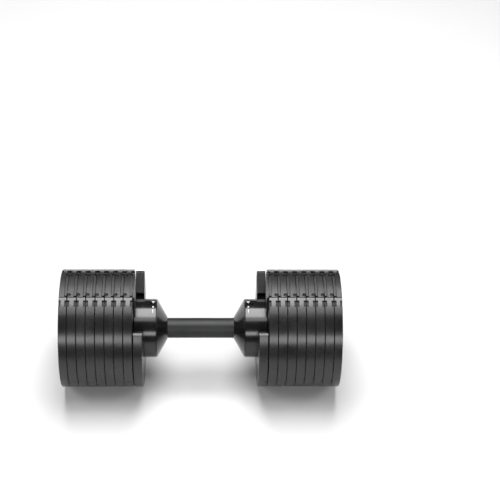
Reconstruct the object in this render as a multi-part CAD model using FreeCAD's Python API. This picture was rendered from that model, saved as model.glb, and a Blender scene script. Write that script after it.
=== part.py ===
import FreeCAD, Part
import math
import os

# Adjustable dumbbell with a turning grip and eight interlocking round plates on each side.
# Millimetres. The dumbbell's axis is X, +Z is up, and the origin is the middle of the grip.
# Everything is drawn for the +X side and mirrored, except the two selector rods, which pass
# each other inside the core tube and so are half a turn about Z apart.

# ---- weight plates ----
plate_radius = 90.0
plate_thickness = 13.36
last_plate_thickness = 12.3
plate_gap = 0.5
plates_per_side = 8
inner_plate_to_first_plate = 1.3
rim_chamfer = 0.6
pocket_inner_radius = 26.0
pocket_outer_radius = 76.0
pocket_depth = 6.5
pocket_web_half_width = 46.0

# ---- interlock at the top of each plate: a T-section wedge in a V-shaped recess ----
flange_half_deg = 16.5
neck_half_deg = 11.2
flank_deg = 10.0
wedge_bottom_z = 26.0
wedge_height = 4.1
flange_thickness = 1.75
wedge_clearance = 0.3
wedge_top_setback = 0.5
foot_relief_depth = 2.5
foot_relief_width = 0.8
groove_end_deg = 17.2
groove_depth = 1.8
notch_start_deg = 20.2
notch_end_deg = 26.8
notch_depth = 3.5
notch_bottom_z = 76.0
notch_floor_depth = 2.4
crook_deg = 14.0
crook_radius = 3.0
crook_depth = 2.2
crook_setback = 2.2
corner_deg = 14.9
corner_depth = 2.2

# ---- wedge screws ----
wedge_screw_heights = (40.0, 66.0)
wedge_screw_radius = 2.0
wedge_screw_head_radius = 4.0
wedge_screw_head_length = 2.0
wedge_screw_length = 6.3

# ---- grip, drive sleeve and core tube ----
grip_radius = 15.4
grip_wall = 1.3
grip_tuck = 3.0
grip_chamfer = 0.9
groove_run_out = 0.5
groove_root_step = 0.15
groove_to_bush = 3.76
sleeve_inner_radius = 10.75
core_radius = 10.4
rod_radius = 8.5
running_clearance = 0.05
moving_clearance = 0.3

# ---- selector rods and follower pins ----
rod_nose_chamfer = 1.5
rod_split_half_gap = 0.25
rod_end_inset = 1.64
rod_tip_inset = 2.5
grip_turn_deg = 320.0
pin_radius = 2.0
pin_tip_radius = 12.0
pin_tip_clearance = 0.2
pin_root_y = 2.0

# ---- grip bushes ----
bush_radius = 11.9
bush_length = 10.0
bush_flange_radius = 15.0
bush_flange_thickness = 1.5
end_float = 0.3

# ---- drum, cone and dial ----
drum_radius = 44.8
drum_wall = 2.3
drum_chamfer = 0.5
cone_length = 16.6
sleeve_past_cone = 5.0
cone_wall = 2.0
cone_lip = 1.0
cone_nose = 0.7
cone_throat = 1.5
cone_rim_land = 0.4
cone_rim_inset = 0.3
cone_spigot = 1.5
drum_seam = 0.6
cone_to_dial = 2.0
dial_width = 9.6
dial_rim_wall = 2.7
dial_web_inset = 0.6
dial_web = 2.0
dial_hub_wall = 2.9
dial_hub_length = 7.6
dial_clearance = 0.4
window_inset = 3.4
window_width = 6.4
window_half_deg = 3.2
window_behind_deg = 6.0

# ---- hub, inner plate and end plate ----
cone_to_hub = 20.0
hub_thickness = 9.0
hub_boss_radius = 16.0
end_disc_thickness = 2.9
drum_to_first_plate = 1.1
inner_plate_lead = 0.1
inner_plate_thickness = 13.5
inner_plate_cut_deg = 52.3
inner_step_radius = 54.5
inner_step_cut_deg = 60.0
drum_screw_circle = 34.0
drum_screw_radius = 2.5
drum_screw_head_radius = 4.6
drum_screw_head_length = 2.1
drum_screw_length = 11.0
drum_screw_count = 4

# ---- click stop of the dial ----
index_circle = 25.0
index_ball_radius = 2.5
index_post_radius = 5.0
index_spring_wire = 0.8
index_spring_turns = 4
index_positions = 9
dimple_depth = 0.9

# ---- release plunger under the drum ----
cone_to_plunger = 16.0
plunger_radius = 3.0
plunger_stem_radius = 2.0
plunger_collar_radius = 3.7
plunger_collar = 1.2
plunger_stem_top = 23.0
plunger_proud = 2.6
plunger_collar_sink = 0.1
guide_bottom = 33.0
guide_top = 26.5
guide_half_width = 5.0
guide_length = 9.6
plunger_spring_wire = 0.9
plunger_spring_turns = 3

# ---- worked out from the above ----
plate_pitch = plate_thickness + plate_gap
rod_travel = plates_per_side * plate_pitch
pin_x = rod_travel / 2
groove_half_width = pin_radius + moving_clearance
groove_root_radius = pin_tip_radius + pin_tip_clearance
sleeve_half_length = pin_x + groove_half_width + groove_run_out + groove_to_bush + bush_length
cone_end_x = sleeve_half_length - sleeve_past_cone
grip_visible_half = cone_end_x - cone_length
drum_x = cone_end_x + drum_seam
dial_x = cone_end_x + cone_to_dial
dial_web_x = dial_x + dial_web_inset
dial_hub_start_x = dial_web_x + dial_web - dial_hub_length
window_x = dial_x + window_inset
plunger_x = cone_end_x + cone_to_plunger
hub_x = cone_end_x + cone_to_hub
hub_end_x = hub_x + hub_thickness
inner_plate_x = hub_x - inner_plate_lead
inner_plate_end_x = inner_plate_x + inner_plate_thickness
first_plate_x = inner_plate_end_x + inner_plate_to_first_plate
last_plate_x = first_plate_x + (plates_per_side - 1) * plate_pitch
drum_end_x = first_plate_x - drum_to_first_plate
half_length = last_plate_x + last_plate_thickness
rod_tip_x = half_length - rod_tip_inset
rod_length = rod_tip_x - rod_travel + hub_end_x - rod_end_inset
plate_bore_radius = rod_radius + moving_clearance
core_bore_radius = rod_radius + running_clearance
sleeve_radius = grip_radius - grip_wall
dial_hub_radius = sleeve_radius + dial_hub_wall
grip_bore_radius = sleeve_radius
grip_half_length = grip_visible_half + grip_tuck
drum_bore_radius = drum_radius - drum_wall
dial_radius = drum_bore_radius - dial_clearance
end_plate_face_x = first_plate_x - plate_gap / 2
blade_x = hub_end_x + end_disc_thickness
plunger_hole_radius = plunger_radius + moving_clearance

V = FreeCAD.Vector
ORIGIN = V(0, 0, 0)
X_AXIS = V(1, 0, 0)
Y_AXIS = V(0, 1, 0)
Z_AXIS = V(0, 0, 1)


# ---- helpers ----
def turned(profile):
    """A solid of revolution about X from (x, radius) points."""
    points = [V(x, 0, r) for x, r in profile]
    return Part.Face(Part.makePolygon(points + points[:1])).revolve(ORIGIN, X_AXIS, 360)


def tube(x0, x1, inner, outer):
    return turned([(x0, inner), (x1, inner), (x1, outer), (x0, outer)])


def rod_along(direction, radius, length, start):
    return Part.makeCylinder(radius, length, start, direction)


def slab(outline, x0, x1):
    """A prism along X from (y, z) points."""
    points = [V(x0, y, z) for y, z in outline]
    return Part.Face(Part.makePolygon(points + points[:1])).extrude(V(x1 - x0, 0, 0))


def block(x0, x1, y0, y1, z0, z1):
    return Part.makeBox(x1 - x0, y1 - y0, z1 - z0, V(x0, y0, z0))


def mirrored(shape):
    """The -X side's copy."""
    return shape.mirror(ORIGIN, X_AXIS)


def group(solids):
    """Separate solids kept in one node."""
    return Part.makeCompound(solids)


def coil(mean_radius, wire_radius, length, turns):
    """A coil spring along Z, standing on the origin, with its wire inside its length."""
    pitch = (length - 2 * wire_radius) / turns
    path = Part.makeHelix(pitch, length - 2 * wire_radius, mean_radius)
    tangent = V(0, 2 * math.pi * mean_radius, pitch)
    section = Part.Wire(Part.makeCircle(wire_radius, V(mean_radius, 0, 0), tangent))
    spring = Part.Wire(path.Edges).makePipeShell([section], True, True)
    spring.translate(V(0, 0, wire_radius))
    return spring


def flank_half_width(rim_deg, z, offset=0.0):
    """Half the width, at height z, of a V whose side meets the rim at rim_deg from the top."""
    rim_y = plate_radius * math.sin(math.radians(rim_deg))
    rim_z = plate_radius * math.cos(math.radians(rim_deg))
    return rim_y - (rim_z - z) * math.tan(math.radians(flank_deg)) + offset


def vee(rim_deg, bottom_z, top_z, offset=0.0):
    """The outline of a V-shaped wedge, wide at the top."""
    low = flank_half_width(rim_deg, bottom_z, offset)
    high = flank_half_width(rim_deg, top_z, offset)
    return [(-low, bottom_z), (low, bottom_z), (high, top_z), (-high, top_z)]


def flank_band(start_deg, end_deg, bottom_z, top_z, side):
    """A strip beside the V, parallel to its side, on the side y > 0 or y < 0."""
    corners = [(start_deg, bottom_z), (end_deg, bottom_z), (end_deg, top_z), (start_deg, top_z)]
    return [(side * flank_half_width(deg, z), z) for deg, z in corners]


# ---- weight plates ----
def plate_blank(thickness):
    """A disc with chamfered rim, its handle-side face at x = 0."""
    c = rim_chamfer
    r = plate_radius
    return turned([(0, 0), (0, r - c), (c, r), (thickness - c, r), (thickness, r - c), (thickness, 0)])


def corner_bands(top):
    """The outlines of the open corners at the rim, at the two ends of a wedge's flange."""
    bottom = plate_radius * math.cos(math.radians(flange_half_deg)) - corner_depth
    return [flank_band(corner_deg, groove_end_deg, bottom, top, side) for side in (1, -1)]


def wedge_recess():
    """The T-section V recess, cut into the handle-side face."""
    top = plate_radius + 1
    floor_x = wedge_height - plate_gap / 2 + wedge_clearance
    neck = slab(vee(neck_half_deg, wedge_bottom_z, top, wedge_clearance), -1, floor_x)
    lip_x = floor_x - flange_thickness - 2 * wedge_clearance
    flange = slab(vee(flange_half_deg, wedge_bottom_z, top, 0), lip_x, floor_x)
    return neck.fuse([flange] + [slab(band, -1, floor_x) for band in corner_bands(top)])


def rim_notches(thickness):
    """Relief notches beside the V, which leave a row of teeth, and the grooves next to them."""
    top = plate_radius + 1
    core = rod_along(X_AXIS, plate_radius - notch_floor_depth, thickness + 4, V(-2, 0, 0))
    cuts = []
    for side in (1, -1):
        band = flank_band(notch_start_deg, notch_end_deg, notch_bottom_z, top, side)
        cuts.append(slab(band, -1, notch_depth).cut(core))
        cuts.append(slab(band, thickness - notch_depth, thickness + 1).cut(core))
        groove_bottom = plate_radius * math.cos(math.radians(groove_end_deg)) - groove_depth
        groove = flank_band(flange_half_deg, groove_end_deg, groove_bottom, top, side)
        cuts.append(slab(groove, -1, thickness + 1))
    return cuts


def crook_pockets(thickness):
    """Round pockets in the rim beside the outer face, where the ends of the hooks show."""
    pockets = []
    for side in (1, -1):
        floor = V(thickness - crook_setback, 0, plate_radius - crook_depth)
        pocket = rod_along(Z_AXIS, crook_radius, crook_depth + 1, floor)
        pocket.rotate(ORIGIN, X_AXIS, side * crook_deg)
        pockets.append(pocket)
    return pockets


def weight_pocket():
    """The hidden hollow in the handle-side face that sets the plate's weight."""
    ring = tube(-1, pocket_depth, pocket_inner_radius, pocket_outer_radius)
    web = block(-2, pocket_depth + 1, -pocket_web_half_width, pocket_web_half_width, 0, plate_radius)
    return ring.cut(web)


def wedge_screw_holes(x, length):
    return [rod_along(X_AXIS, wedge_screw_radius, length, V(x, 0, z)) for z in wedge_screw_heights]


def weight_plate():
    """A plate with a through bore, holes for its wedge's screws, and its inner face at x = 0."""
    body = plate_blank(plate_thickness)
    cuts = [wedge_recess(), weight_pocket()] + rim_notches(plate_thickness)
    cuts += crook_pockets(plate_thickness)
    cuts.append(rod_along(X_AXIS, plate_bore_radius, plate_thickness + 2, V(-1, 0, 0)))
    depth = wedge_screw_length - wedge_height
    cuts += wedge_screw_holes(plate_thickness - depth, depth + 1)
    return body.cut(cuts)


def last_plate():
    """The outermost plate: thinner, with a blind bore and a plain outer face."""
    body = plate_blank(last_plate_thickness)
    cuts = [wedge_recess(), weight_pocket()] + rim_notches(last_plate_thickness)
    bore_depth = rod_tip_x - last_plate_x + moving_clearance
    cuts.append(rod_along(X_AXIS, plate_bore_radius, bore_depth + 1, V(-1, 0, 0)))
    return body.cut(cuts)


# ---- interlocking wedges ----
def hook_wedge():
    """A T-section wedge that stands on a face at x = 0 and points outwards, with its screw holes."""
    top = plate_radius + 1
    neck_height = wedge_height - flange_thickness
    bottom = wedge_bottom_z + wedge_clearance
    neck = slab(vee(neck_half_deg, bottom, top), 0, neck_height)
    flange = slab(vee(flange_half_deg, bottom, top), neck_height, wedge_height)
    rim = rod_along(X_AXIS, plate_radius - wedge_top_setback, wedge_height + 2, V(-1, 0, 0))
    relief_radius = plate_radius - wedge_top_setback - foot_relief_depth
    relief = tube(-1, foot_relief_width, relief_radius, plate_radius + 5)
    body = neck.fuse(flange).removeSplitter().common(rim).cut(relief)
    corners = [slab(band, -1, wedge_height + 1) for band in corner_bands(top)]
    return body.cut(corners + [wedge_screw(z) for z in wedge_screw_heights])


def wedge_screw(z):
    """A countersunk screw whose head is flush with the wedge's outer face."""
    r = wedge_screw_radius
    head_x = wedge_height - wedge_screw_head_length
    end_x = wedge_height - wedge_screw_length
    screw = turned([(end_x, 0), (end_x, r), (head_x, r), (wedge_height, wedge_screw_head_radius),
                    (wedge_height, 0)])
    screw.translate(V(0, 0, z))
    return screw


def wedge_bases():
    """The faces that carry a wedge: the handle's end plate and every plate but the last."""
    faces = [end_plate_face_x]
    for k in range(plates_per_side - 1):
        faces.append(first_plate_x + k * plate_pitch + plate_thickness)
    return faces


def moved(shape, x):
    copy = shape.copy()
    copy.translate(V(x, 0, 0))
    return copy


# ---- grip and what turns with it ----
def grip_tube():
    c = grip_chamfer
    r = grip_radius
    h = grip_half_length
    return turned([(-h, grip_bore_radius), (-h, r - c), (-h + c, r), (h - c, r), (h, r - c),
                   (h, grip_bore_radius)])


def helical_groove(lefthanded, root_radius):
    """A groove inside the drive sleeve, which meets its rod's pin at +Y when the rod is out."""
    lead = rod_travel * 360.0 / grip_turn_deg
    run_out = groove_half_width + groove_run_out
    length = rod_travel + 2 * run_out
    radius = (sleeve_inner_radius + root_radius) / 2
    path = Part.makeHelix(lead, length, radius, 0, lefthanded)
    hand = -1 if lefthanded else 1
    tangent = V(0, hand * 2 * math.pi * radius, lead).normalize()
    radial = X_AXIS
    across = tangent.cross(radial)
    half_depth = root_radius - radius
    corners = [(-half_depth - 1, -1), (half_depth, -1), (half_depth, 1), (-half_depth - 1, 1)]
    start = V(radius, 0, 0)
    points = [start + radial * a + across * (b * groove_half_width) for a, b in corners]
    section = Part.makePolygon(points + points[:1])
    groove = Part.Wire(path.Edges).makePipeShell([section], True, True)
    to_x = FreeCAD.Rotation(Y_AXIS, Z_AXIS, X_AXIS, "XYZ")
    groove.Placement = FreeCAD.Placement(ORIGIN, to_x)
    turn_at_pin = hand * (360.0 * (length - run_out) / lead)
    groove.rotate(ORIGIN, X_AXIS, -turn_at_pin)
    groove.translate(V(pin_x + run_out - length, 0, 0))
    return groove


def drive_sleeve():
    """The sleeve inside the grip. One groove drives each rod's pin, with opposite hands."""
    body = tube(-sleeve_half_length, sleeve_half_length, sleeve_inner_radius, sleeve_radius)
    right_groove = helical_groove(False, groove_root_radius)
    left_groove = helical_groove(True, groove_root_radius + groove_root_step)
    left_groove.rotate(ORIGIN, Z_AXIS, 180)
    body = body.cut(right_groove).cut(left_groove)
    seat = tube(sleeve_half_length - bush_length - 1, sleeve_half_length + 1,
                sleeve_inner_radius - 1, bush_radius + running_clearance)
    return body.cut([seat, mirrored(seat)])


def dial():
    """The numbered ring, its web and the hub that grips the drive sleeve."""
    end_x = dial_x + dial_width
    rim = tube(dial_x, end_x, dial_radius - dial_rim_wall, dial_radius)
    web = tube(dial_web_x, dial_web_x + dial_web, sleeve_radius, dial_radius - 1)
    hub = tube(dial_hub_start_x, dial_web_x + dial_web, sleeve_radius, dial_hub_radius)
    body = rim.fuse([web, hub]).removeSplitter()
    dimples = []
    for k in range(index_positions):
        angle = math.radians(k * grip_turn_deg / (index_positions - 1))
        centre = V(dial_web_x + dial_web + index_ball_radius - dimple_depth,
                   -index_circle * math.cos(angle), -index_circle * math.sin(angle))
        dimples.append(Part.makeSphere(index_ball_radius, centre))
    return body.cut(dimples)


# ---- core tube, rods and pins ----
def core_tube():
    body = tube(-hub_end_x, hub_end_x, core_bore_radius, core_radius)
    reach = pin_x + groove_half_width
    slot = block(-reach, reach, -core_radius - 1, core_radius + 1, -groove_half_width, groove_half_width)
    return body.cut(slot)


def selector_rod():
    """The half-round rod of the +X side, on the side y > 0, pushed fully out."""
    c = rod_nose_chamfer
    start = rod_tip_x - rod_length
    bar = turned([(start, 0), (start, rod_radius), (rod_tip_x - c, rod_radius),
                  (rod_tip_x, rod_radius - c), (rod_tip_x, 0)])
    reach = rod_radius + 1
    half = block(start - 1, rod_tip_x + 1, rod_split_half_gap, reach, -reach, reach)
    return bar.common(half).cut(follower_pin())


def follower_pin():
    return rod_along(Y_AXIS, pin_radius, pin_tip_radius - pin_root_y, V(pin_x, pin_root_y, 0))


def grip_bush():
    """Flanged bush on the core tube: the sleeve turns on it and stops against its flange."""
    x0 = sleeve_half_length - bush_length
    x1 = sleeve_half_length + end_float
    x2 = x1 + bush_flange_thickness
    return turned([(x0, core_radius), (x0, bush_radius), (x1, bush_radius), (x1, bush_flange_radius),
                   (x2, bush_flange_radius), (x2, core_radius)])


# ---- cone and drum ----
def cone_cover():
    """The cone between grip and drum, with a spigot that centres it in the drum."""
    x0 = grip_visible_half + moving_clearance
    hole = grip_radius + moving_clearance
    x1 = cone_end_x
    spigot_x = drum_x + cone_spigot - drum_seam
    inner = drum_bore_radius - cone_wall
    rim = drum_radius - cone_rim_inset
    return turned([(x0, hole), (x0, hole + cone_nose), (x1 - cone_rim_land, rim), (x1, rim),
                   (x1, drum_bore_radius), (spigot_x, drum_bore_radius), (spigot_x, inner),
                   (x1 - cone_lip, inner), (x0 + cone_wall, hole + cone_throat), (x0 + cone_wall, hole)])


def drum():
    """The housing, with the dial window just behind its top and the plunger's hole below.

    Its outer end covers the end plate's disc and is notched for the end plate's blade.
    """
    c = drum_chamfer
    body = turned([(drum_x, drum_bore_radius), (drum_x, drum_radius - c), (drum_x + c, drum_radius),
                   (drum_end_x, drum_radius), (drum_end_x, drum_bore_radius)])
    half = drum_radius * math.sin(math.radians(window_half_deg))
    window = block(window_x, window_x + window_width, -half, half, dial_radius - 1, drum_radius + 1)
    window.rotate(ORIGIN, X_AXIS, -window_behind_deg)
    hole = rod_along(Z_AXIS, plunger_hole_radius, 2 * drum_wall + 2, V(plunger_x, 0, -drum_radius - 1))
    blade_notch = slab(vee(flange_half_deg, -wedge_bottom_z, drum_radius + 1, moving_clearance),
                       blade_x - moving_clearance, drum_end_x + 1)
    return body.cut([window, hole, blade_notch])


# ---- hub, inner plate and end plate ----
def drum_screw_angles():
    return [math.radians((k + 0.5) * 360.0 / drum_screw_count) for k in range(drum_screw_count)]


def drum_screw(angle):
    """A countersunk screw through the end plate's disc into the hub."""
    r = drum_screw_radius
    head_x = blade_x - drum_screw_head_length
    end_x = blade_x - drum_screw_length
    screw = turned([(end_x, 0), (end_x, r), (head_x, r), (blade_x, drum_screw_head_radius), (blade_x, 0)])
    screw.translate(V(0, drum_screw_circle * math.cos(angle), drum_screw_circle * math.sin(angle)))
    return screw


def index_bore_radius():
    return index_ball_radius + running_clearance


def index_centre_x():
    return dial_web_x + dial_web + index_ball_radius + moving_clearance


def hub():
    """The steel disc on the core tube, with a boss to the bush and a post for the click stop."""
    boss_x = sleeve_half_length + end_float + bush_flange_thickness
    disc = tube(hub_x, hub_end_x, core_radius, drum_bore_radius)
    boss = tube(boss_x, hub_x, core_radius, hub_boss_radius)
    post_x = index_centre_x()
    post = rod_along(X_AXIS, index_post_radius, hub_x - post_x, V(post_x, -index_circle, 0))
    bore = rod_along(X_AXIS, index_bore_radius(), hub_x - post_x, V(post_x - 1, -index_circle, 0))
    body = disc.fuse([boss, post]).removeSplitter()
    return body.cut([bore] + [drum_screw(a) for a in drum_screw_angles()])


def index_ball():
    return Part.makeSphere(index_ball_radius, V(index_centre_x(), -index_circle, 0))


def index_spring():
    x0 = index_centre_x() + index_ball_radius
    length = hub_x - 1 - x0
    spring = coil(index_ball_radius - index_spring_wire, index_spring_wire / 2, length, index_spring_turns)
    spring.rotate(ORIGIN, Y_AXIS, 90)
    spring.translate(V(x0, -index_circle, 0))
    return spring


def opening_sector(half_deg, x0, x1):
    """The upper sector, as a triangular prism that is cut from the inner plate."""
    top = plate_radius + 1
    half_width = top * math.tan(math.radians(half_deg))
    return slab([(0, 0), (half_width, top), (-half_width, top)], x0, x1)


def inner_plate():
    """The C-shaped plate round the drum, open at the top."""
    c = rim_chamfer
    r = plate_radius
    x0 = inner_plate_x
    x1 = inner_plate_end_x
    ring = turned([(x0, drum_radius), (x0, r - c), (x0 + c, r), (x1 - c, r), (x1, r - c),
                   (x1, drum_radius)])
    main_cut = opening_sector(inner_plate_cut_deg, x0 - 1, x1 + 1)
    step_ring = tube(x0 - 1, x1 + 1, drum_radius - 1, inner_step_radius)
    step_cut = opening_sector(inner_step_cut_deg, x0 - 2, x1 + 2).common(step_ring)
    return ring.cut([main_cut, step_cut])


def end_plate():
    """The disc that closes the drum, with the raised V blade that carries the first wedge."""
    disc = tube(hub_end_x, blade_x, plate_bore_radius, drum_bore_radius)
    blade = slab(vee(flange_half_deg, -wedge_bottom_z, plate_radius + 1), blade_x, end_plate_face_x)
    rim = rod_along(X_AXIS, plate_radius - wedge_top_setback, end_plate_face_x - hub_end_x,
                    V(hub_end_x, 0, 0))
    hole = rod_along(X_AXIS, plate_bore_radius, end_plate_face_x, V(hub_end_x - 1, 0, 0))
    body = disc.fuse(blade.common(rim)).removeSplitter()
    depth = wedge_screw_length - wedge_height
    cuts = [hole] + wedge_screw_holes(end_plate_face_x - depth, depth + 1)
    return body.cut(cuts + [drum_screw(a) for a in drum_screw_angles()])


# ---- release plunger ----
def plunger_collar_z():
    """Where the collar's edge rests inside the drum."""
    return plunger_collar_sink - math.sqrt(drum_bore_radius ** 2 - plunger_collar_radius ** 2)


def release_plunger():
    """The button under the drum, at rest, pushed down by its spring."""
    collar_z = plunger_collar_z()
    bottom_z = -drum_radius - plunger_proud
    head = rod_along(Z_AXIS, plunger_radius, collar_z - bottom_z, V(plunger_x, 0, bottom_z))
    collar = rod_along(Z_AXIS, plunger_collar_radius, plunger_collar, V(plunger_x, 0, collar_z))
    stem = rod_along(Z_AXIS, plunger_stem_radius, -plunger_stem_top - collar_z, V(plunger_x, 0, collar_z))
    return head.fuse([collar, stem]).removeSplitter()


def plunger_spring():
    base = plunger_collar_z() + plunger_collar
    spring = coil(plunger_collar_radius - plunger_spring_wire, plunger_spring_wire / 2,
                  -guide_bottom - base, plunger_spring_turns)
    spring.translate(V(plunger_x, 0, base))
    return spring


def plunger_guide():
    """The block on the hub that guides the plunger's stem."""
    body = block(hub_x - guide_length, hub_x, -guide_half_width, guide_half_width, -guide_bottom, -guide_top)
    bore = rod_along(Z_AXIS, plunger_stem_radius + running_clearance, guide_bottom,
                     V(plunger_x, 0, -guide_bottom - 1))
    return body.cut(bore)


# ---- the whole dumbbell ----
def build():
    nodes = {
        "core_tube": core_tube(),
        "drive_sleeve": drive_sleeve(),
        "grip_tube": grip_tube(),
    }
    plate = weight_plate()
    wedge = hook_wedge()
    bases = wedge_bases()
    sided = {
        "grip_bush": grip_bush(),
        "cone_cover": cone_cover(),
        "drum": drum(),
        "dial": dial(),
        "hub": hub(),
        "inner_plate": inner_plate(),
        "end_plate": end_plate(),
        "index_ball": index_ball(),
        "index_spring": index_spring(),
        "release_plunger": release_plunger(),
        "plunger_spring": plunger_spring(),
        "plunger_guide": plunger_guide(),
        "hook_wedges": group([moved(wedge, x) for x in bases]),
        "wedge_screws": group([moved(wedge_screw(z), x) for x in bases for z in wedge_screw_heights]),
        "drum_screws": group([drum_screw(a) for a in drum_screw_angles()]),
    }
    for k in range(plates_per_side - 1):
        sided["plate_%d" % (k + 1)] = moved(plate, first_plate_x + k * plate_pitch)
    sided["plate_%d" % plates_per_side] = moved(last_plate(), last_plate_x)
    for name, shape in sided.items():
        nodes["right_" + name] = shape
        nodes["left_" + name] = mirrored(shape)
    for name, shape in (("selector_rod", selector_rod()), ("follower_pin", follower_pin())):
        nodes["right_" + name] = shape
        nodes["left_" + name] = mirrored(shape).mirror(ORIGIN, Y_AXIS)
    return nodes


os.makedirs("parts", exist_ok=True)
for node_name, node_shape in build().items():
    node_shape.exportStep("parts/%s.step" % node_name)
    print("%-22s solids %2d  volume %9.0f  valid %s"
          % (node_name, len(node_shape.Solids), node_shape.Volume, node_shape.isValid()))
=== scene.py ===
# %% [markdown]
# # Adjustable dumbbell: how it is put together
# The exact model comes in as a fixed frame: sixteen black weight plates, two glossy drums, the grip
# and the works inside. Blender never moves those parts. It rounds their edges on copies, adds the
# small printed and moulded details, gives every surface its finish, and lights the whole.
# %% Load the frame
import math

import bmesh
import bpy
from mathutils import Matrix, Vector


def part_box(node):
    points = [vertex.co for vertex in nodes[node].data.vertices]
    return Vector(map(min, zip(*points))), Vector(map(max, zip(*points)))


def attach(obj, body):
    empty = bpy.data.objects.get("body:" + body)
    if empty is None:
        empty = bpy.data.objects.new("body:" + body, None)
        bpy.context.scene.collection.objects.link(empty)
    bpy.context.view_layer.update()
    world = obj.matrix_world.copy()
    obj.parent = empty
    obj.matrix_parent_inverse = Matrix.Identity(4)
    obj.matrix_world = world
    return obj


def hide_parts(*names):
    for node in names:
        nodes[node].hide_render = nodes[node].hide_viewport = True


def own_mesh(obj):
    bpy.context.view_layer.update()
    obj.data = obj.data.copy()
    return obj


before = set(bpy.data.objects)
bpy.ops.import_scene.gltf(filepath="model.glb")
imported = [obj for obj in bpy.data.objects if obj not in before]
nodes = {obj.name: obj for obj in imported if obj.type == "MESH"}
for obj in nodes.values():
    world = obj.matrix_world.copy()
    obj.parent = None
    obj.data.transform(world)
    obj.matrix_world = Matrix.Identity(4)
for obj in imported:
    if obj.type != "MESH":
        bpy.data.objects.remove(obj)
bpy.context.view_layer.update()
scene = bpy.context.scene
scene.view_settings.view_transform = "Standard"

# %% [markdown]
# ## The sizes that everything else follows
# Places are read from the frame, so a new piece sits where the real one does. A millimetre is named
# once, because the frame is in metres and small details are easier to think of in millimetres.
# %% Read the main sizes
MM = 0.001
SIDES = {"right": 1, "left": -1}
PLATES_PER_SIDE = 8
plate_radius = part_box("right_plate_1")[1].z
grip_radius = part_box("grip_tube")[1].z
drum_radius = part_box("right_drum")[1].z
print("plate", plate_radius, "grip", grip_radius, "drum", drum_radius)

# %% [markdown]
# ## A small kit for node materials
# Each finish is a Principled shader with a few texture nodes. These helpers keep the cells that
# follow short: one makes the material, one adds a node with its values, one joins two sockets.
# %% Material helpers


def new_material(name, **constants):
    """A material with a Principled shader; constants are set on the shader's own sockets."""
    material = bpy.data.materials.new(name)
    material.use_nodes = True
    tree = material.node_tree
    shader = tree.nodes["Principled BSDF"]
    for socket, value in constants.items():
        shader.inputs[socket.replace("_", " ")].default_value = value
    return material, tree, shader


def add_node(tree, kind, **values):
    """A node whose properties or input sockets are set by name."""
    node = tree.nodes.new(kind)
    for name, value in values.items():
        if name in node.inputs:
            node.inputs[name].default_value = value
        else:
            setattr(node, name, value)
    return node


def object_coordinates(tree, scale=(1, 1, 1)):
    """Object coordinates, stretched by a Mapping node."""
    where = add_node(tree, "ShaderNodeTexCoord")
    mapping = add_node(tree, "ShaderNodeMapping", Scale=scale)
    tree.links.new(where.outputs["Object"], mapping.inputs["Vector"])
    return mapping.outputs["Vector"]


def lathe_coordinates(tree):
    """Place along the axis and distance from it, so that a pattern runs round a turned part."""
    where = add_node(tree, "ShaderNodeTexCoord")
    split = add_node(tree, "ShaderNodeSeparateXYZ")
    tree.links.new(where.outputs["Object"], split.inputs["Vector"])
    off_axis = add_node(tree, "ShaderNodeCombineXYZ")
    tree.links.new(split.outputs["Y"], off_axis.inputs["Y"])
    tree.links.new(split.outputs["Z"], off_axis.inputs["Z"])
    distance = add_node(tree, "ShaderNodeVectorMath", operation="LENGTH")
    tree.links.new(off_axis.outputs["Vector"], distance.inputs[0])
    place = add_node(tree, "ShaderNodeCombineXYZ")
    tree.links.new(split.outputs["X"], place.inputs["X"])
    tree.links.new(distance.outputs["Value"], place.inputs["Y"])
    return place.outputs["Vector"]


def noise(tree, vector, scale, detail=4.0, roughness=0.55):
    texture = add_node(tree, "ShaderNodeTexNoise", Scale=scale, Detail=detail, Roughness=roughness)
    tree.links.new(vector, texture.inputs["Vector"])
    return texture.outputs["Fac"]


def spread(tree, value, low, high, start=0.3, end=0.7):
    """Maps a 0 to 1 value onto the range low to high."""
    mapped = tree.nodes.new("ShaderNodeMapRange")
    settings = {"From Min": start, "From Max": end, "To Min": low, "To Max": high}
    for name, number in settings.items():
        mapped.inputs[name].default_value = number
    tree.links.new(value, mapped.inputs["Value"])
    return mapped.outputs["Result"]


def tint(tree, value, dark, light):
    """A colour between two others."""
    ramp = tree.nodes.new("ShaderNodeValToRGB")
    ramp.color_ramp.elements[0].color = (*dark, 1)
    ramp.color_ramp.elements[1].color = (*light, 1)
    tree.links.new(value, ramp.inputs["Fac"])
    return ramp.outputs["Color"]


def combine(tree, operation, first, second):
    node = add_node(tree, "ShaderNodeMath", operation=operation)
    for socket, value in zip(node.inputs, (first, second)):
        if isinstance(value, (int, float)):
            socket.default_value = value
        else:
            tree.links.new(value, socket)
    return node.outputs[0]


def bump(tree, shader, height, distance, strength=1.0):
    node = add_node(tree, "ShaderNodeBump", Distance=distance, Strength=strength)
    tree.links.new(height, node.inputs["Height"])
    tree.links.new(node.outputs["Normal"], shader.inputs["Normal"])


# %% [markdown]
# ## Satin black plates
# The plates are steel discs, turned on a lathe and powder coated. The rim keeps fine lines that run
# round it, so the bands of light break up into thin stripes; the coat adds a fine grain; handling
# leaves slightly smoother and paler patches, and the edges are rubbed a little brighter. The lines
# depend only on the place along the axis and on the radius, as a lathe's do, so one noise draws them
# on the rims and, as rings, on the flat faces. At the top of the rims, where the wedges lock, the coat
# is coarser and shines less. A mask made from the angle round the axis and the radius says where.
# %% Make the plate coat

INTERLOCK_HALF_ANGLE = math.radians(17.2)
INTERLOCK_ROUGHER = 0.2
RIM_DEPTH = 1.2 * MM
EDGE_WEAR_AND_HIGHLIGHT = "edge"


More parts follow.
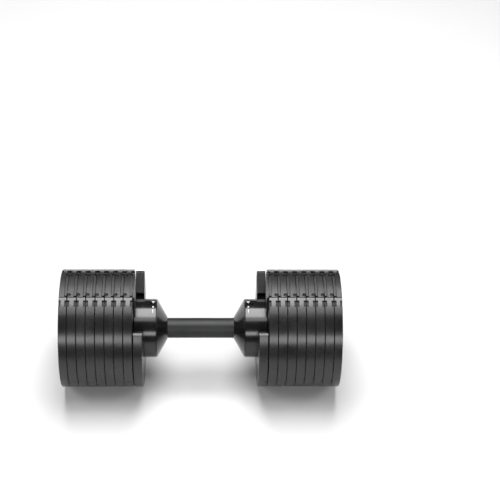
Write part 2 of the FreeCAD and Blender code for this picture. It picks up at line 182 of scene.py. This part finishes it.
def near_top(tree, half_angle):
    """A mask that is 1 on the rim within an angle of the top, and 0 elsewhere."""
    where = add_node(tree, "ShaderNodeTexCoord")
    across = add_node(tree, "ShaderNodeVectorMath", operation="MULTIPLY")
    across.inputs[1].default_value = (0, 1, 1)
    tree.links.new(where.outputs["Object"], across.inputs[0])
    unit = add_node(tree, "ShaderNodeVectorMath", operation="NORMALIZE")
    tree.links.new(across.outputs["Vector"], unit.inputs[0])
    split = add_node(tree, "ShaderNodeSeparateXYZ")
    tree.links.new(unit.outputs["Vector"], split.inputs["Vector"])
    upward = combine(tree, "GREATER_THAN", split.outputs["Z"], math.cos(half_angle))
    radius = add_node(tree, "ShaderNodeVectorMath", operation="LENGTH")
    tree.links.new(across.outputs["Vector"], radius.inputs[0])
    on_rim = combine(tree, "GREATER_THAN", radius.outputs["Value"], plate_radius - RIM_DEPTH)
    return combine(tree, "MULTIPLY", upward, on_rim)


def coated_steel(name, dark, light, roughness, line_depth, edge_wear_and_highlight_gain):
    """Satin black coat over turned steel; marked edge strips are painted paler, as rubbed wear and a painted
    highlight.
    """
    material, tree, shader = new_material(name, Metallic=0.0, Specular_IOR_Level=0.48)
    here = object_coordinates(tree)
    lines = noise(tree, lathe_coordinates(tree), 2600.0, 3.0)
    grain = noise(tree, here, 2300.0, 2.0)
    patches = noise(tree, here, 26.0, 5.0, 0.6)
    # The marked edge strips are painted paler here: partly rubbed wear, partly a painted highlight.
    edge = add_node(tree, "ShaderNodeAttribute", attribute_name=EDGE_WEAR_AND_HIGHLIGHT).outputs["Fac"]
    shade = combine(tree, "ADD", spread(tree, patches, 0.0, 0.5), spread(tree, lines, 0.0, 0.35))
    shade = combine(tree, "ADD", shade, combine(tree, "MULTIPLY", edge, edge_wear_and_highlight_gain))
    tree.links.new(tint(tree, shade, dark, light), shader.inputs["Base Color"])
    rough = combine(tree, "ADD", spread(tree, patches, roughness - 0.05, roughness + 0.05),
                    spread(tree, grain, -0.03, 0.03))
    coarse = combine(tree, "MULTIPLY", near_top(tree, INTERLOCK_HALF_ANGLE), INTERLOCK_ROUGHER)
    tree.links.new(combine(tree, "ADD", rough, coarse), shader.inputs["Roughness"])
    height = combine(tree, "ADD", combine(tree, "MULTIPLY", lines, line_depth),
                     combine(tree, "MULTIPLY", grain, 0.35))
    bump(tree, shader, height, 0.02 * MM)
    return material


# The last number says how much paler the edge strips are painted, as wear and painted highlight; it is
# largest on the inner plates.
plate_coat = coated_steel("plate_coat", (0.006, 0.006, 0.0063), (0.018, 0.018, 0.0185), 0.26, 1.0, 0.35)
wedge_coat = coated_steel("wedge_coat", (0.012, 0.012, 0.0125), (0.034, 0.034, 0.035), 0.33, 0.5, 0.35)
inner_coat = coated_steel("inner_coat", (0.006, 0.006, 0.0063), (0.015, 0.015, 0.0155), 0.28, 0.5, 0.5)
print("coats", plate_coat.name, wedge_coat.name, inner_coat.name)

# %% [markdown]
# ## Painted shade in the hollows
# The hollows are painted darker and duller than the rim, as painted shade. The notches beside the
# teeth get a duller, slightly darker coat than the rim, and the step of the inner plate, which looks
# inwards round the drum, is painted almost black and without shine.
# %% Make the painted shade of the hollows


def shaded_finish(name, dark, light, specular, roughness):
    """A plain black coat that paints shade into hollows; it differs from place to place only in a fine grain.
    """
    material, tree, shader = new_material(name, Metallic=0.0, Specular_IOR_Level=specular)
    grain = noise(tree, object_coordinates(tree), 1400.0, 3.0)
    tree.links.new(tint(tree, grain, (dark, dark, dark), (light, light, light)), shader.inputs["Base Color"])
    tree.links.new(spread(tree, grain, roughness - 0.08, roughness + 0.08), shader.inputs["Roughness"])
    bump(tree, shader, grain, 0.03 * MM)
    return material


# Painted shade: a near-black, shineless coat for the inner plate's step and a duller, darker one for the
# notches.
cavity_painted_shade = shaded_finish("cavity_painted_shade", 0.003, 0.006, 0.1, 0.88)
notch_painted_shade = shaded_finish("notch_painted_shade", 0.006, 0.014, 0.25, 0.5)
print("hollows", cavity_painted_shade.name, notch_painted_shade.name)

# %% [markdown]
# ## Gloss black mouldings
# Drums and cones are moulded in black and polished. A gloss surface shows its finish through the
# softness of its reflections: a slight waviness from the mould, a thin clear coat, and faint
# hairline scuffs that only change the roughness.
# %% Make the gloss finish


def gloss_moulding(name, colour, roughness):
    """Polished black moulding, a little wavy and faintly scuffed."""
    material, tree, shader = new_material(name, Metallic=0.0, Coat_Weight=0.15, Coat_Roughness=0.1,
                                          Specular_IOR_Level=0.42)
    here = object_coordinates(tree)
    waves = noise(tree, here, 60.0, 2.0)
    scuffs = noise(tree, object_coordinates(tree, (1, 0.08, 0.08)), 1500.0, 3.0)
    bright = tuple(min(1, channel * 1.6) for channel in colour)
    tree.links.new(tint(tree, waves, colour, bright), shader.inputs["Base Color"])
    rough = combine(tree, "ADD", spread(tree, waves, roughness - 0.03, roughness + 0.03),
                    spread(tree, scuffs, -0.02, 0.05, 0.45, 0.75))
    tree.links.new(rough, shader.inputs["Roughness"])
    bump(tree, shader, combine(tree, "ADD", waves, combine(tree, "MULTIPLY", scuffs, 0.1)), 0.03 * MM)
    return material


gloss_black = gloss_moulding("gloss_black", (0.004, 0.004, 0.0042), 0.2)
dial_black = gloss_moulding("dial_black", (0.014, 0.014, 0.014), 0.5)
print("gloss", gloss_black.name)

# %% [markdown]
# ## The coated, knurled grip
# The grip is a steel tube with a fine crossed knurl under a matte dark coat. At arm's length it
# reads as an even, slightly sparkling grey. Two slanted sets of lines, wound in opposite ways round
# the tube, make the diamonds; they come from the angle round the axis and the distance along it.
# %% Make the grip finish

KNURLS_ROUND = 60


def knurled_coat():
    """Matte dark coat over crossed knurling."""
    material, tree, shader = new_material("grip_coat", Metallic=0.0, Specular_IOR_Level=0.3)
    where = add_node(tree, "ShaderNodeTexCoord")
    split = add_node(tree, "ShaderNodeSeparateXYZ")
    tree.links.new(where.outputs["Object"], split.inputs["Vector"])
    angle = combine(tree, "ARCTAN2", split.outputs["Y"], split.outputs["Z"])
    along = combine(tree, "MULTIPLY", split.outputs["X"], KNURLS_ROUND / grip_radius)
    around = combine(tree, "MULTIPLY", angle, KNURLS_ROUND)
    first = combine(tree, "SINE", combine(tree, "ADD", around, along), 0)
    second = combine(tree, "SINE", combine(tree, "SUBTRACT", around, along), 0)
    diamonds = combine(tree, "MULTIPLY", combine(tree, "ADD", first, second), 0.5)
    here = object_coordinates(tree)
    grain = noise(tree, here, 2600.0, 3.0)
    patches = noise(tree, here, 45.0, 4.0)
    shade = combine(tree, "ADD", spread(tree, patches, 0.1, 0.6), spread(tree, diamonds, 0.0, 0.3, -1, 1))
    colour = tint(tree, shade, (0.007, 0.007, 0.0073), (0.022, 0.022, 0.0225))
    tree.links.new(colour, shader.inputs["Base Color"])
    tree.links.new(spread(tree, grain, 0.36, 0.5), shader.inputs["Roughness"])
    height = combine(tree, "ADD", diamonds, combine(tree, "MULTIPLY", grain, 0.4))
    bump(tree, shader, height, 0.05 * MM)
    return material


grip_coat = knurled_coat()
print("grip", grip_coat.name)

# %% [markdown]
# ## Bare metals, bronze and print
# Rods, hubs, springs and screws are bare or blackened metal. Turned parts keep rings round X and
# ground rods keep faint lines along it. The bushes are sintered bronze, so their colour is mottled.
# The marks on the drums and the numbers on the dials are matte white ink.
# %% Make the metals and the ink


def bare_metal(name, dark, light, roughness, stretch):
    """Bare metal whose fine lines follow the stretch of their pattern."""
    material, tree, shader = new_material(name, Metallic=1.0)
    here = object_coordinates(tree)
    lines = noise(tree, object_coordinates(tree, stretch), 1800.0, 3.0)
    patches = noise(tree, here, 70.0, 4.0)
    shade = combine(tree, "ADD", spread(tree, patches, 0.0, 0.6), spread(tree, lines, 0.0, 0.4))
    tree.links.new(tint(tree, shade, dark, light), shader.inputs["Base Color"])
    tree.links.new(spread(tree, lines, roughness - 0.07, roughness + 0.09), shader.inputs["Roughness"])
    bump(tree, shader, lines, 0.01 * MM)
    return material


ROUND_X = (1, 0.02, 0.02)
ALONG_X = (0.02, 1, 1)
EVEN = (1, 1, 1)
turned_steel = bare_metal("turned_steel", (0.36, 0.36, 0.37), (0.6, 0.6, 0.61), 0.32, ROUND_X)
ground_steel = bare_metal("ground_steel", (0.45, 0.45, 0.46), (0.68, 0.68, 0.69), 0.22, ALONG_X)
ball_steel = bare_metal("ball_steel", (0.6, 0.6, 0.61), (0.78, 0.78, 0.79), 0.12, EVEN)
spring_wire = bare_metal("spring_wire", (0.3, 0.3, 0.31), (0.5, 0.5, 0.51), 0.3, EVEN)
black_oxide = bare_metal("black_oxide", (0.035, 0.035, 0.037), (0.09, 0.09, 0.095), 0.36, EVEN)
bronze = bare_metal("bronze", (0.32, 0.19, 0.08), (0.55, 0.36, 0.17), 0.38, EVEN)


def printed_ink():
    """Matte white ink, very slightly mottled."""
    material, tree, shader = new_material("white_ink", Metallic=0.0)
    mottle = noise(tree, object_coordinates(tree), 900.0, 3.0)
    tree.links.new(tint(tree, mottle, (0.46, 0.46, 0.455), (0.6, 0.6, 0.595)), shader.inputs["Base Color"])
    tree.links.new(spread(tree, mottle, 0.45, 0.62), shader.inputs["Roughness"])
    bump(tree, shader, mottle, 0.01 * MM)
    return material


white_ink = printed_ink()
print("metals and ink ready")

# %% [markdown]
# ## Which finish goes on which part
# One table gives every part of the frame its finish. Parts are named for their side, so the side is
# taken off the name first, and the eight plates share one entry.
# %% Assign the finishes

FINISH = {
    "plate": plate_coat, "hook_wedges": wedge_coat, "end_plate": wedge_coat, "inner_plate": inner_coat,
    "drum": gloss_black, "cone_cover": gloss_black, "dial": dial_black, "release_plunger": dial_black,
    "grip_tube": grip_coat, "core_tube": turned_steel, "drive_sleeve": turned_steel, "hub": turned_steel,
    "plunger_guide": turned_steel, "selector_rod": ground_steel, "follower_pin": ground_steel,
    "index_ball": ball_steel, "index_spring": spring_wire, "plunger_spring": spring_wire,
    "wedge_screws": black_oxide, "drum_screws": black_oxide, "grip_bush": bronze,
}


def part_kind(node_name):
    """The part's name without its side, and without a plate's number."""
    words = node_name.split("_")
    if words[0] in SIDES:
        words = words[1:]
    return "plate" if words[0] == "plate" else "_".join(words)


def dress(piece, material):
    """Gives a piece one material and no other."""
    piece.data.materials.clear()
    piece.data.materials.append(material)


for node_name, node in nodes.items():
    for socket in node.material_slots:
        socket.material = FINISH[part_kind(node_name)]
print("finishes", len({m.name for m in FINISH.values()}))

# %% [markdown]
# ## Rounded edges on copies of the exact parts
# No real edge is a perfect corner, and a corner catches no light. Each visible part is copied, its
# loose triangles are merged, flat areas are joined into single faces, and the sharp edges are
# bevelled by a fraction of a millimetre. The strips that the bevel makes are marked, so the coat is
# painted paler there, partly as rubbed wear and partly as a painted highlight. The copy replaces the
# part on screen and rides on the same body.
# %% The edge-rounding helper

SHARP = math.radians(28)
SAME_PLANE = math.radians(0.2)


def make_object(name, bm, material, body):
    """Turns a bmesh into a piece that rides on a body and wears the finish it is given."""
    mesh = bpy.data.meshes.new(name)
    bm.to_mesh(mesh)
    bm.free()
    piece = bpy.data.objects.new(name, mesh)
    scene.collection.objects.link(piece)
    dress(piece, material)
    mesh.shade_smooth()
    mesh.set_sharp_from_angle(angle=SHARP)
    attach(piece, body)
    return piece


def even_shading(piece):
    """Lets the large faces set the shading, so that reflections stay straight up to an edge."""
    weighted = piece.modifiers.new("even_shading", "WEIGHTED_NORMAL")
    weighted.keep_sharp = True


def slice_corner(bm, direction, distance):
    """Cuts off what lies further than a distance in a direction, and closes the cut."""
    sheet = bmesh.ops.bisect_plane(bm, geom=bm.verts[:] + bm.edges[:] + bm.faces[:],
                                   plane_co=direction * distance, plane_no=direction, clear_outer=True)
    rim = [part for part in sheet["geom_cut"] if isinstance(part, bmesh.types.BMEdge)]
    return bmesh.ops.contextual_create(bm, geom=rim)["faces"]


def rounded_copy(node_name, width, body, segments=2, sliced=()):
    """A copy of a part with its corners sliced off where asked and its sharp edges bevelled."""
    node = nodes[node_name]
    bm = bmesh.new()
    bm.from_mesh(node.data)
    bmesh.ops.remove_doubles(bm, verts=bm.verts, dist=0.001 * MM)
    bmesh.ops.dissolve_limit(bm, angle_limit=SAME_PLANE, verts=bm.verts, edges=bm.edges)
    mark = bm.faces.layers.float.new(EDGE_WEAR_AND_HIGHLIGHT)
    # The cut faces get the edge mark, so their coat is painted paler as a painted highlight.
    for direction, distance in sliced:
        for face in slice_corner(bm, direction, distance):
            face[mark] = 1.0
    corners = [e for e in bm.edges if e.is_manifold and e.calc_face_angle(0) > SHARP]
    made = bmesh.ops.bevel(bm, geom=corners, offset=width, offset_type="OFFSET", segments=segments,
                           profile=0.5, affect="EDGES", clamp_overlap=True, material=-1)
    # The bevel strips get the mark too: painted paler, partly as rubbed wear and partly as a painted
    # highlight.
    for face in made["faces"]:
        face[mark] = 1.0
    piece = make_object(node_name + "_rounded", bm, node.material_slots[0].material, body)
    even_shading(piece)
    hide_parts(node_name)
    return piece


# %% [markdown]
# ## Rounding the plates, the housings and the grip
# The plates get narrow roundings, the mouldings slightly wider ones. Two places need more. The inner
# plates have their two upper corners cut off flat before the rounding, and the cut faces are painted
# paler as a painted highlight. And the hollows get painted shade: a face belongs to one when it
# doesn't look along the dumbbell and lies between two radii, close enough to the top.
# %% Round the plates and the handle's parts

INNER_PLATE_OPENING = math.radians(52.3)
CORNER_SLICE = 2.2 * MM
STEP_RADIUS = 54.4 * MM
NOTCH_FLOOR_LOWEST = 80 * MM
NOTCH_SHALLOWEST = 1.6 * MM
NOTCH_HALF_ANGLE = math.radians(27.5)
PLATE_ROUNDING = 0.25 * MM
INNER_PLATE_ROUNDING = 0.3 * MM
GRIP_ROUNDING = 0.3 * MM
HANDLE_ROUNDINGS = {"hook_wedges": (0.2 * MM, "wedge"), "end_plate": (0.2 * MM, "plate"),
                    "drum": (0.3 * MM, "gloss_shell"), "cone_cover": (0.2 * MM, "gloss_shell")}


def coat_hollows(piece, material, inner_radius, outer_radius, half_angle):
    """Gives a piece's inside faces between two radii, up to an angle from the top, a second material that
    paints shade there.
    """
    piece.data.materials.append(material)
    for face in piece.data.polygons:
        radius = math.hypot(face.center.y, face.center.z)
        angle = abs(math.atan2(face.center.y, face.center.z))
        if inner_radius < radius < outer_radius and angle < half_angle and abs(face.normal.x) < 0.5:
            face.material_index = 1


def opening_corners():
    """Where the inner plate's two upper corners are sliced: halfway between rim and end face."""
    half_turn = INNER_PLATE_OPENING - math.radians(45)
    reach = plate_radius * math.cos(math.radians(45)) - CORNER_SLICE
    return [(Vector((0, side * math.sin(half_turn), math.cos(half_turn))), reach) for side in (1, -1)]


for side in SIDES:
    for number in range(1, PLATES_PER_SIDE + 1):
        plate = rounded_copy("%s_plate_%d" % (side, number), PLATE_ROUNDING, "handle")
        # The notches beside the teeth get painted shade.
        coat_hollows(plate, notch_painted_shade, NOTCH_FLOOR_LOWEST, plate_radius - NOTCH_SHALLOWEST,
                     NOTCH_HALF_ANGLE)
    for kind, (width, slot) in HANDLE_ROUNDINGS.items():
        rounded_copy("%s_%s" % (side, kind), width, "handle")
    inner = rounded_copy(side + "_inner_plate", INNER_PLATE_ROUNDING, "handle",
                         sliced=opening_corners())
    # The inner plate's step is painted near black as painted shade.
    coat_hollows(inner, cavity_painted_shade, 0, STEP_RADIUS, math.pi)
rounded_copy("grip_tube", GRIP_ROUNDING, "grip", segments=3)

# %% [markdown]
# ## Copies of the plungers' springs
# A release plunger is pushed up into its drum and shortens its spring. The exact spring can't change
# its length, so a copy with a mesh of its own stands for it; nothing here makes the copy shorten. The
# spring of the click stop hardly moves, and stays as it is.
# %% Make the plungers' springs


def squashed_spring(side):
    """A copy of the plunger's spring, with a mesh of its own, that rides on the handle."""
    node_name = side + "_plunger_spring"
    bm = bmesh.new()
    bm.from_mesh(nodes[node_name].data)
    piece = make_object(node_name + "_squashed", bm, spring_wire, "handle")
    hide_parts(node_name)
    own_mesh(piece)


for side in SIDES:
    squashed_spring(side)

# %% [markdown]
# ## Flat shapes bent round the axis
# Marks, numbers and the hooks' ends all lie on cylinders about the dumbbell's axis. Each is made flat,
# with x along the dumbbell, y round it and z outwards, and is then bent to its radius. Angles are
# measured from the top, and grow towards the back.
# %% The bending helpers


def bend_round(bm, x, radius, angle):
    """Bends a flat shape to a cylinder about the axis and puts its middle at x and angle."""
    for vert in bm.verts:
        turn = angle + vert.co.y / radius
        out = radius + vert.co.z
        vert.co = Vector((x + vert.co.x, out * math.sin(turn), out * math.cos(turn)))


def thicken(bm, sunk, raised):
    """Gives a flat shape a closed body from a little below its surface to a little above it."""
    bmesh.ops.translate(bm, vec=(0, 0, -sunk), verts=bm.verts)
    made = bmesh.ops.extrude_face_region(bm, geom=bm.faces[:], use_keep_orig=True)
    top = [part for part in made["geom"] if isinstance(part, bmesh.types.BMVert)]
    bmesh.ops.translate(bm, vec=(0, 0, sunk + raised), verts=top)
    bmesh.ops.recalc_face_normals(bm, faces=bm.faces)


def gather(parts):
    """Joins several bmeshes into one."""
    whole = bmesh.new()
    for part in parts:
        mesh = bpy.data.meshes.new("part")
        part.to_mesh(mesh)
        part.free()
        whole.from_mesh(mesh)
        bpy.data.meshes.remove(mesh)
    return whole


# %% [markdown]
# ## Marks on the drums
# Behind the window a triangle points at it, and in front of it a dot and a stroke lead the eye along
# the drum. They are thin layers of white ink.
# %% Print the marks

INK_SUNK = 0.05 * MM
INK_RAISED = 0.03 * MM
TRIANGLE_SIZE = (5.6 * MM, 7.0 * MM)
DOT_SIZE = (2.8 * MM, 3.6 * MM)
STROKE_SIZE = (1.3 * MM, 7.0 * MM)
STROKE_CORNER = 0.5 * MM
WINDOW_INSET = 6.2 * MM
TRIANGLE_ANGLE = math.radians(15)
DOT_ANGLE = math.radians(-2)
STROKE_ANGLE = math.radians(-12.3)


def triangle():
    """Three sides with the tip towards the front, cut finely enough to bend."""
    bm = bmesh.new()
    bmesh.ops.create_circle(bm, cap_ends=True, segments=3, radius=1)
    bmesh.ops.rotate(bm, matrix=Matrix.Rotation(math.pi, 3, "Z"), verts=bm.verts)
    width, length = TRIANGLE_SIZE
    bmesh.ops.scale(bm, vec=(width / math.sqrt(3), length / 1.5, 1), verts=bm.verts)
    bmesh.ops.subdivide_edges(bm, edges=bm.edges, cuts=5, use_grid_fill=True)
    return bm


def dot():
    """A flat oval."""
    bm = bmesh.new()
    bmesh.ops.create_circle(bm, cap_ends=True, segments=32, radius=0.5)
    bmesh.ops.scale(bm, vec=(*DOT_SIZE, 1), verts=bm.verts)
    return bm


def stroke():
    """A flat bar with rounded corners, cut across so that it can bend."""
    bm = bmesh.new()
    bmesh.ops.create_grid(bm, x_segments=1, y_segments=8, size=0.5)
    bmesh.ops.scale(bm, vec=(*STROKE_SIZE, 1), verts=bm.verts)
    corners = [v for v in bm.verts if len(v.link_edges) == 2]
    bmesh.ops.bevel(bm, geom=corners, offset=STROKE_CORNER, offset_type="OFFSET", segments=4, profile=0.5,
                    affect="VERTICES", clamp_overlap=True, material=-1)
    return bm


def window_x(side):
    """The middle of the window, a little way in from the dial's end at the plates."""
    low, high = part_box(side + "_dial")
    return high.x - WINDOW_INSET if SIDES[side] > 0 else low.x + WINDOW_INSET


def drum_marks(side):
    """The triangle, dot and stroke of one drum, in line with its window."""
    marks = []
    for shape, angle in ((triangle(), TRIANGLE_ANGLE), (dot(), DOT_ANGLE), (stroke(), STROKE_ANGLE)):
        thicken(shape, INK_SUNK, INK_RAISED)
        bend_round(shape, window_x(side), drum_radius, angle)
        marks.append(shape)
    return make_object(side + "_drum_marks", gather(marks), white_ink, "handle")


for side in SIDES:
    print("printed", drum_marks(side).name)

# %% [markdown]
# ## Numbers on the dials
# Nine numbers stand round each dial, one step of the click stop apart: the heaviest is in the window
# when the grip is at rest, and lighter ones arrive as it turns. They ride with the grip.
# %% Print the numbers

NUMBER_HEIGHT = 3.0 * MM
DIGIT_OVER_SIZE = 0.7
NUMBER_STEP = math.radians(40)
WINDOW_ANGLE = math.radians(6)
HEAVIEST = 36
WEIGHT_STEP = 4
dial_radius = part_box("right_dial")[1].z


def number_shape(text):
    """A number as a flat mesh, upright and centred."""
    curve = bpy.data.curves.new("number", "FONT")
    curve.body = text
    curve.size = NUMBER_HEIGHT / DIGIT_OVER_SIZE
    curve.align_x = "CENTER"
    curve.align_y = "CENTER"
    holder = bpy.data.objects.new("number", curve)
    mesh = bpy.data.meshes.new_from_object(holder)
    bm = bmesh.new()
    bm.from_mesh(mesh)
    bpy.data.objects.remove(holder)
    bpy.data.curves.remove(curve)
    bpy.data.meshes.remove(mesh)
    return bm


def dial_numbers(side):
    """All the numbers of one dial, in one piece that turns with the grip."""
    numbers = []
    for place, weight in enumerate(range(HEAVIEST, 0, -WEIGHT_STEP)):
        shape = number_shape(str(weight))
        thicken(shape, INK_SUNK, INK_RAISED)
        bend_round(shape, window_x(side), dial_radius, WINDOW_ANGLE + place * NUMBER_STEP)
        numbers.append(shape)
    return make_object(side + "_dial_numbers", gather(numbers), white_ink, "grip")


for side in SIDES:
    print("printed", dial_numbers(side).name)

# %% [markdown]
# ## The hooks' ends in the rims
# At both ends of each wedge a rounded lip curls out of the seam and runs down the rim, in a pocket of
# the plate that carries the wedge. Each is a round bar: its section is spun through a quarter turn,
# drawn out straight, closed, and bent to the rim.
# %% Make the hooks' ends

LIP_RADIUS = 0.65 * MM
LIP_CURL = 1.9 * MM
LIP_RUN = 3.4 * MM
LIP_ANGLE = math.radians(12.9)
LIP_DEPTH = 1.0 * MM
LIP_FROM_SEAM = 0.4 * MM


def lip(inwards, backwards):
    """A quarter curl from the seam and a straight run, flat, towards +/- x and +/- y."""
    bm = bmesh.new()
    bmesh.ops.create_circle(bm, cap_ends=False, segments=12, radius=LIP_RADIUS,
                            matrix=Matrix.Rotation(math.pi / 2, 4, "Y"))
    bmesh.ops.spin(bm, geom=bm.verts[:] + bm.edges[:], cent=(0, LIP_CURL, 0), axis=(0, 0, 1),
                   angle=math.pi / 2, steps=8)
    end = [v for v in bm.verts if abs(v.co.y - LIP_CURL) < 0.001 * MM]
    edges = [e for e in bm.edges if all(v in end for v in e.verts)]
    made = bmesh.ops.extrude_edge_only(bm, edges=edges)
    run = [part for part in made["geom"] if isinstance(part, bmesh.types.BMVert)]
    bmesh.ops.translate(bm, vec=(0, LIP_RUN, 0), verts=run)
    bmesh.ops.holes_fill(bm, edges=[e for e in bm.edges if e.is_boundary], sides=0)
    bmesh.ops.scale(bm, vec=(inwards, backwards, 1), verts=bm.verts)
    bmesh.ops.recalc_face_normals(bm, faces=bm.faces)
    return bm


def hook_ends(side, sign):
    """The lips of one side's plates, front and back, all but on the outermost plate."""
    lips = []
    for number in range(1, PLATES_PER_SIDE):
        low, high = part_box("%s_plate_%d" % (side, number))
        seam = high.x if sign > 0 else low.x
        for backwards in (1, -1):
            shape = lip(-sign, backwards)
            bend_round(shape, seam - sign * LIP_FROM_SEAM, plate_radius - LIP_DEPTH, backwards * LIP_ANGLE)
            lips.append(shape)
    return make_object(side + "_hook_ends", gather(lips), wedge_coat, "handle")


for side, sign in SIDES.items():
    print("made", hook_ends(side, sign).name)

# %% [markdown]
# ## The floor
# The dumbbell stands on pale paper. A black object shows what it stands on, as a faint light in its
# lower half. Far in front, the paper is painted darker, fading to grey: painted shade, which keeps the black
# parts black.
# %% Floor

FLOOR_HALF_SIZE = 6.0
FADE_START = -0.5
FADE_END = -0.32


def floor_material():
    """Matte paper, painted darker towards the front as painted shade."""
    material, tree, shader = new_material("floor_paper", Metallic=0.0, Specular_IOR_Level=0.2)
    mottle = noise(tree, object_coordinates(tree), 3.0, 2.0)
    split = add_node(tree, "ShaderNodeSeparateXYZ")
    tree.links.new(object_coordinates(tree), split.inputs["Vector"])
    # Painted shade: the paper darkens towards the front between FADE_END and FADE_START.
    lightness = combine(tree, "ADD", spread(tree, split.outputs["Y"], 0.0, 0.98, FADE_START, FADE_END),
                        spread(tree, mottle, 0.0, 0.02))
    tree.links.new(tint(tree, lightness, (0.05, 0.05, 0.05), (0.66, 0.66, 0.66)), shader.inputs["Base Color"])
    shader.inputs["Roughness"].default_value = 0.8
    return material


def make_floor():
    """A level sheet at the height of the plates' lowest point."""
    bm = bmesh.new()
    bmesh.ops.create_grid(bm, x_segments=1, y_segments=1, size=FLOOR_HALF_SIZE)
    bmesh.ops.translate(bm, vec=(0, 0, -plate_radius), verts=bm.verts)
    mesh = bpy.data.meshes.new("floor")
    bm.to_mesh(mesh)
    bm.free()
    floor = bpy.data.objects.new("floor", mesh)
    scene.collection.objects.link(floor)
    dress(floor, floor_material())


make_floor()
print("floor at", round(-plate_radius, 4))

# %% [markdown]
# ## The lights
# Soft boxes light it, as in a studio. The plates' rims act as long curved mirrors: the box overhead
# draws the bright band near the top, a dim strip beside it softens the band's lower edge, and the box
# in front draws the second band lower down. Two weak boxes at the sides only fill the shadow.
# %% Lights


def soft_box(name, elevation, azimuth, distance, size, power):
    """A rectangular light that faces the dumbbell from the given direction, in degrees."""
    a, e = math.radians(azimuth), math.radians(elevation)
    place = Vector((math.sin(a) * math.cos(e), -math.cos(a) * math.cos(e), math.sin(e))) * distance
    data = bpy.data.lights.new(name, "AREA")
    data.shape = "RECTANGLE"
    data.size, data.size_y = size
    data.energy = power
    light = bpy.data.objects.new(name, data)
    light.location = place
    light.rotation_euler = (-place).to_track_quat("-Z", "Y").to_euler()
    scene.collection.objects.link(light)


soft_box("overhead_box", 105, 0, 2.2, (1.3, 1.6), 72)
soft_box("overhead_strip", 77, 0, 2.2, (1.3, 0.6), 9)
soft_box("front_box", 20.5, 0, 3.0, (3.0, 0.7), 46)
soft_box("left_box", 40, -75, 2.5, (1.0, 1.0), 15)
soft_box("right_box", 40, 75, 2.5, (1.0, 1.0), 15)

world = bpy.data.worlds.new("studio")
scene.world = world
world.use_nodes = True
world.node_tree.nodes["Background"].inputs["Color"].default_value = (1, 1, 1, 1)
world.node_tree.nodes["Background"].inputs["Strength"].default_value = 0.08
print("lights", len(bpy.data.lights))

# %% [markdown]
# ## The camera
# It looks down through a long lens from far off, which keeps the plates' rims nearly parallel. It is
# aimed past the dumbbell, so that the dumbbell sits low and to the left, with room above it.
# %% Camera

VIEW_ELEVATION = math.radians(43)
LENS = 108.9
CAMERA_DISTANCE = 25.9 * plate_radius
TURN_RIGHT = math.radians(1.863)
TURN_UP = math.radians(2.945)

back = Vector((0, -math.cos(VIEW_ELEVATION), math.sin(VIEW_ELEVATION)))
data = bpy.data.cameras.new("camera")
data.lens = LENS
data.sensor_width = 36
camera = bpy.data.objects.new("camera", data)
camera.location = back * CAMERA_DISTANCE
aim = (-back).to_track_quat("-Z", "Y").to_matrix()
turn = Matrix.Rotation(-TURN_RIGHT, 3, "Y") @ Matrix.Rotation(TURN_UP, 3, "X")
camera.rotation_euler = (aim @ turn).to_euler()
data.clip_start, data.clip_end = 0.05, 50
scene.collection.objects.link(camera)
scene.camera = camera
print("camera at", [round(v, 3) for v in camera.location])
